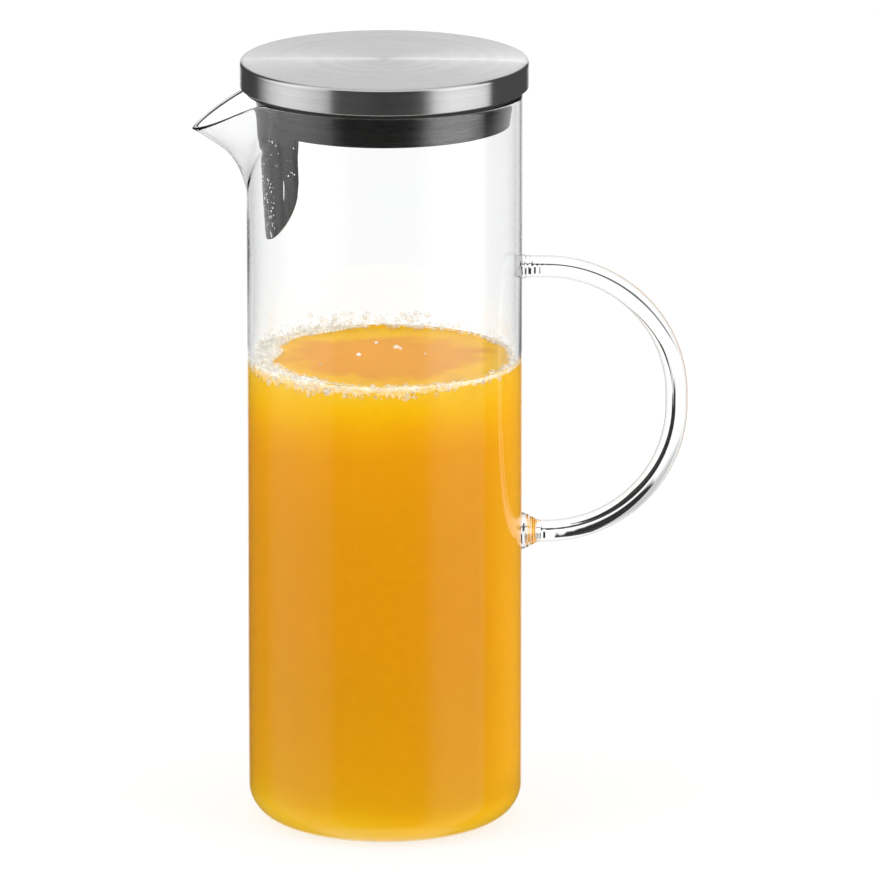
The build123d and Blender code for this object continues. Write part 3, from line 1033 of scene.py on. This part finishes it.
def makeFoam():
    rng = random.Random(foamSpec["seed"])
    angles = evenAngles(foamSpec["segments"])
    rings = sectionRings(angles, [frothSection(a) for a in angles])
    froth = makePiece("foam_froth", *skinRings(rings, closed=True), [makeFrothMaterial()], 70)
    carry(froth, "jug", "juice_foam", "juice_foam")

    low, high = foamSpec["bubbleR"]
    shapes = {detail: bubbleShape(detail) for detail in (1, 2)}
    verts, faces = [], []

    def pick():  # an angle, more often where the foam is thick
        while True:
            a = rng.uniform(0, turn)
            width, above, below, _ = foamAt(a)
            if rng.random() < (width + foamSpec["crowdEdge"]) * (above + below) / foamSpec["crowdFull"]:
                return a, width, above, below

    def blow(a, r, z, radius, depth):  # one bubble, depth is its half-size towards the wall
        shape = shapes[2 if radius > foamSpec["fineFrom"] else 1]
        addBall(verts, faces, shape, (a, r, z), (depth, radius, radius))

    extra, full = foamSpec["smallWhere"]
    for _ in range(foamSpec["topBubbles"]):
        a, width, above, below = pick()
        radius = low * (high / low) ** (rng.random() ** 1.6) * min(1.0, (above + extra) / full)
        part = rng.random() ** 1.2
        off = radius * 0.7 + width * part
        z = juiceZ + above * (1 - part) ** 1.5 * rng.random() + radius * 0.25
        blow(a, boreR - off, z, radius, radius)
    for _ in range(foamSpec["wallBubbles"]):
        a, width, above, below = pick()
        radius = low * (high / low) ** (rng.random() ** 1.4)
        z = juiceZ + rng.uniform(-1.25 * below, 1.1 * above)
        if z < juiceZ + radius:  # flat against the glass
            blow(a, boreR + foamSpec["press"], z, radius * 0.85, foamSpec["discHalf"])
        else:
            blow(a, boreR - 0.4 * radius, z, radius, radius * 0.6)
    looseFrom = len(faces)
    for x, y, radius in foamSpec["loose"]:
        blow(math.atan2(y, x), math.hypot(x, y), juiceZ - 0.1 * mm, radius, radius)
    materials = [makeBubbleMaterial(name, *look) for name, look in foamSpec["films"].items()]
    bubbles = makePiece("foam_bubbles", verts, faces, materials, 180)
    for face in list(bubbles.data.polygons)[looseFrom:]:
        face.material_index = 1
    carry(bubbles, "jug", "juice_foam")


makeFoam()


# brushed steel, for the lid's cap and the spout guard
def makeSteel(name, spec):
    material, tree, shader = newMaterial(name)
    grooves = useGroup(tree, spunBrush, spec["brush"])
    marks = useGroup(tree, smears, {"Scale": 55.0, "Amount": 0.03})
    setSockets(tree, shader, {
        "Base Color": ramp(tree, grooves["Tone"], [(0.3, spec["steelDark"]), (0.7, spec["steel"])]),
        "Metallic": 1.0,
        "Roughness": calc(tree, "ADD", grooves["Roughness"], marks["Mask"]),
        "Anisotropic": spec["anisotropy"],
        "Anisotropic Rotation": 0.25,
        "Tangent": addNode(tree, "Tangent", direction_type="RADIAL", axis="Z").outputs[0],
        "Normal": bumpFrom(tree, grooves["Height"], spec["bump"], 0.02 * mm, grooves["Normal"]),
    })
    return material, tree, shader


# lid cap: drawn steel cup, brushed in circles
capSpec = {
    "wall": 0.8 * mm,
    "edgeR": 1.0 * mm,
    "hemR": 0.35 * mm,
    "dimple": 0.05 * mm,
    "dimpleR": 6.0 * mm,
    "fall": 0.45 * mm,  # how far the top drops at its edge
    "segments": 256,
    "steel": (0.78, 0.78, 0.775),
    "steelDark": (0.72, 0.72, 0.72),
    "brush": {"Grooves": 2600.0, "Stroke": 2.0, "Rough Low": 0.11, "Rough High": 0.17, "Tilt": 1.0},
    "anisotropy": 0.95,
    "bump": 0.05,
}


def makeLidCap():
    r, top, low = capHigh.x, capHigh.z, capLow.z
    wall, edge, hem = capSpec["wall"], capSpec["edgeR"], capSpec["hemR"]
    corners = [
        (0.0, top - capSpec["dimple"], 0),
        (capSpec["dimpleR"] / 2, top - capSpec["dimple"] * 0.4, 0),
        (capSpec["dimpleR"], top, 0),
    ]
    corners += [(r * part, top - capSpec["fall"] * part**5, 0) for part in spread(0.4, 0.97, 20)]
    corners += [
        (r, top - capSpec["fall"] * 1.06, edge),
        (r, low, hem),
        (r - wall, low, hem),
        (r - wall, top - wall, 0.2 * mm),
        (0.0, top - wall, 0),
    ]
    material, _, _ = makeSteel("brushedLidSteel", capSpec)
    profile = roundCorners(corners)
    cap = makePiece("brushed_lid_cap", *skinRings(latheRings(profile, capSpec["segments"])), [material], 50)
    carry(cap, "lid", "brushed_lid_steel", "lid_cap")


makeLidCap()


# moulded rubber and plastic, for the sealing ring and the lid's core
def makeMoulded(name, spec):
    material, tree, shader = newMaterial(name)
    grain = useGroup(tree, mouldGrain, spec["grain"])
    setSockets(tree, shader, {
        "Base Color": ramp(tree, grain["Tone"], spec["tones"]),
        "Roughness": grain["Roughness"],
        "Normal": bumpFrom(tree, grain["Height"], spec["bump"], 0.05 * mm),
    })
    return material


# sealing ring: black silicone, soft edges
sealSpec = {
    "flange": 1.5 * mm,
    "boreGap": 4.85 * mm,  # from the flange's rim in to the ring's bore
    "finGap": 0.15 * mm,  # from the fin to the glass
    "edgeR": 0.3 * mm,
    "rootR": 0.1 * mm,
    "segments": 220,
    "grain": {"Scale": 1500.0, "Rough Low": 0.42, "Rough High": 0.6},
    "tones": [(0.4, (0.012, 0.012, 0.012)), (0.8, (0.03, 0.03, 0.03))],
    "bump": 0.1,
}


def makeSeal():
    r, top, low = sealHigh.x, sealHigh.z, sealLow.z
    inner = r - sealSpec["boreGap"]
    finR = boreR - sealSpec["finGap"]
    step = top - sealSpec["flange"]
    e = sealSpec["edgeR"]
    corners = [
        (inner, top, e),
        (r, top, e),
        (r, step, e),
        (finR, step, sealSpec["rootR"]),
        (finR, low, e),
        (inner, low, e),
    ]
    rings = latheRings(roundCorners(corners, closed=True, steps=4), sealSpec["segments"])
    material = makeMoulded("blackSilicone", sealSpec)
    seal = makePiece("silicone_seal", *skinRings(rings, closed=True), [material], 50)
    carry(seal, "seal", "black_silicone", "sealing_ring")


makeSeal()

# spout guard: one drawn sheet, a collared skirt and a broad tongue behind the spout
guardSpec = {
    "wall": 0.8 * mm,
    "skirtR": 43.1 * mm,
    "skirtHeight": 12.4 * mm,
    "collarTop": 2.8 * mm,  # under the skirt's top
    "collarHeight": 2.2 * mm,
    "hem": 0.6 * mm,  # straight edge under the taper
    "tongueAngle": math.radians(46.5),
    "tongueDraft": 2.0 * mm,
    "tongueCorner": 25.0 * mm,
    "ringColumns": 220,
    "tongueColumns": 72,
    "tongueRows": 40,
    "steel": (0.18, 0.18, 0.18),
    "steelDark": (0.13, 0.13, 0.13),
    "brush": {"Grooves": 2600.0, "Stroke": 2.0, "Rough Low": 0.24, "Rough High": 0.34},
    "anisotropy": 0.7,
    "bump": 0.04,
    "tongueShade": (6.0 * mm, 2.0 * mm),  # how far under the skirt's edge the painted shade is full, and over it none
    "shadeStreaks": (260.0, 260.0, 18.0),  # of the painted shade's upright streaks on the tongue, per metre
    # painted shade: how dark the tongue's streaks are painted
    "film": [(0.38, 0.04), (0.62, 0.55)],
}
skirtLow = guardHigh.z - guardSpec["skirtHeight"]
tongueLow = guardLow.z


def guardProfile():  # radius and height down the skirt
    s = guardSpec
    top, r, collarR = guardHigh.z, s["skirtR"], guardHigh.x
    shelf = top - s["collarTop"]
    corners = [
        (r, top, 0),
        (r, shelf, 0.3 * mm),
        (collarR, shelf, 0.4 * mm),
        (collarR, shelf - s["collarHeight"], 1.0 * mm),
        (r, skirtLow + s["hem"], 0.5 * mm),
        (r, skirtLow, 0),
    ]
    return roundCorners(corners, steps=6)


def tongueRadius(z):  # the tongue leans in towards its end
    return guardSpec["skirtR"] - guardSpec["tongueDraft"] * (skirtLow - z) / (skirtLow - tongueLow)


# painted shade: the tongue is painted darker under the skirt, in upright streaks
def shadeGuardTongue(tree, shader):
    place = objectPlace(tree)
    height = addNode(tree, "SeparateXYZ", {0: place}).outputs["Z"]
    under, over = guardSpec["tongueShade"]
    tongueShade = remap(tree, height, skirtLow - under, skirtLow + over, 1, 0, "SMOOTHSTEP")
    shadeRuns = clouds(tree, vectorCalc(tree, "MULTIPLY", place, guardSpec["shadeStreaks"]), 1.0, 3.0)
    film = ramp(tree, shadeRuns, [(stop, (tone,) * 3) for stop, tone in guardSpec["film"]])
    steel = shader.inputs["Base Color"].links[0].from_socket
    setSockets(tree, shader, {"Base Color": blendColour(tree, tongueShade, steel, film, "MULTIPLY")})


def makeGuard():
    s = guardSpec
    half, corner = s["tongueAngle"], s["tongueCorner"]
    halfWidth = s["skirtR"] * math.sin(half)
    tongueAngles = spread(math.pi - half, math.pi + half, s["tongueColumns"] + 1)
    otherAngles = spread(math.pi + half, 3 * math.pi - half, s["ringColumns"] + 1)[1:-1]
    angles = tongueAngles + otherAngles
    count = len(angles)
    verts, faces = [], []
    profile = guardProfile()
    for r, z in profile:
        verts += [(r * math.cos(a), r * math.sin(a), z) for a in angles]
    for i in range(len(profile) - 1):
        for j in range(count):
            k = (j + 1) % count
            faces.append((i * count + j, i * count + k, (i + 1) * count + k, (i + 1) * count + j))
    above = [(len(profile) - 1) * count + j for j in range(len(tongueAngles))]
    for row in range(1, s["tongueRows"] + 1):
        share = row / s["tongueRows"]
        below = []
        for a in tongueAngles:
            y = abs(s["skirtR"] * math.sin(a))
            past = min(max(y - (halfWidth - corner), 0.0), corner)
            lowest = tongueLow + corner - math.sqrt(max(corner**2 - past**2, 0.0))
            z = skirtLow + (lowest - skirtLow) * share
            r = tongueRadius(z)
            below.append(len(verts))
            verts.append((r * math.cos(a), r * math.sin(a), z))
        for j in range(len(tongueAngles) - 1):
            faces.append((above[j], above[j + 1], below[j + 1], below[j]))
        above = below
    material, tree, shader = makeSteel("darkGuardSteel", s)
    shadeGuardTongue(tree, shader)
    guard = makePiece("spout_guard_sheet", verts, faces, [material], 50)
    inside = guard.data.polygons[0].normal.dot(guard.data.polygons[0].center * Vector((1, 1, 0))) < 0
    thicken = guard.modifiers.new("sheetThickness", "SOLIDIFY")
    thicken.thickness = s["wall"]
    thicken.offset = 1 if inside else -1
    thicken.use_even_offset = True
    carry(guard, "lid", "dark_guard_steel", "spout_guard")


makeGuard()

# splashes that cling to the guard's tongue
dropSpec = {
    "seed": 5,
    "count": 300,
    "radius": (0.12 * mm, 0.42 * mm),
    "flat": 0.6,
    "lift": 0.02 * mm,
    # painted highlight: the drops are near-white so that they show as bright specks
    "tones": [(0.3, (0.9, 0.88, 0.8)), (0.7, (0.97, 0.97, 0.95))],
    "run": (math.radians(37), 18.0 * mm, 0.25 * mm, 4.5 * mm),  # one long one: aside, down, half-sizes
}


def makeDrops():
    rng = random.Random(dropSpec["seed"])
    material, tree, shader = newMaterial("splashDrops")
    marks = useGroup(tree, smears, {"Scale": 300.0, "Amount": 0.1})
    # painted highlight: near-white colour and little transmission stand in for the drops' glints
    setSockets(tree, shader, {
        "Base Color": ramp(tree, marks["Height"], dropSpec["tones"]),
        "Roughness": marks["Mask"],
        "IOR": 1.34,
        "Transmission Weight": 0.3,
    })
    shape = bubbleShape(2)
    verts, faces = [], []

    def cling(a, z, radius, tall):
        r = tongueRadius(z) + dropSpec["lift"]
        addBall(verts, faces, shape, (a, r, z), (radius * dropSpec["flat"], radius, tall))

    low, high = dropSpec["radius"]
    for _ in range(dropSpec["count"]):
        z = skirtLow - (skirtLow - tongueLow) * (0.02 + 0.95 * rng.random() ** 0.7)
        widest = guardSpec["tongueAngle"] * (1 if z > tongueLow + guardSpec["tongueCorner"] else 0.62)
        a = math.pi + rng.choice((-1, 1)) * rng.random() ** 0.8 * 0.97 * widest
        radius = low * (high / low) ** (rng.random() ** 1.8)
        cling(a, z, radius, radius * rng.uniform(1.0, 1.5))
    aside, down, radius, tall = dropSpec["run"]
    cling(math.pi + aside, skirtLow - down, radius, tall)
    drops = makePiece("guard_splashes", verts, faces, [material], 180)
    carry(drops, "lid", "dark_guard_steel")


makeDrops()

# lid core: dark moulded plastic, mostly hidden under the cap
coreSpec = {
    "grain": {"Scale": 1100.0, "Rough Low": 0.38, "Rough High": 0.55},
    "tones": [(0.35, (0.035, 0.035, 0.036)), (0.7, (0.06, 0.06, 0.06))],
    "bump": 0.12,
}


def dressLidCore():
    material = makeMoulded("mouldedCore", coreSpec)
    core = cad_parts["lid_core"]
    if not core.material_slots:
        core.data.materials.append(material)
    for slot in core.material_slots:
        slot.material = material


dressLidCore()
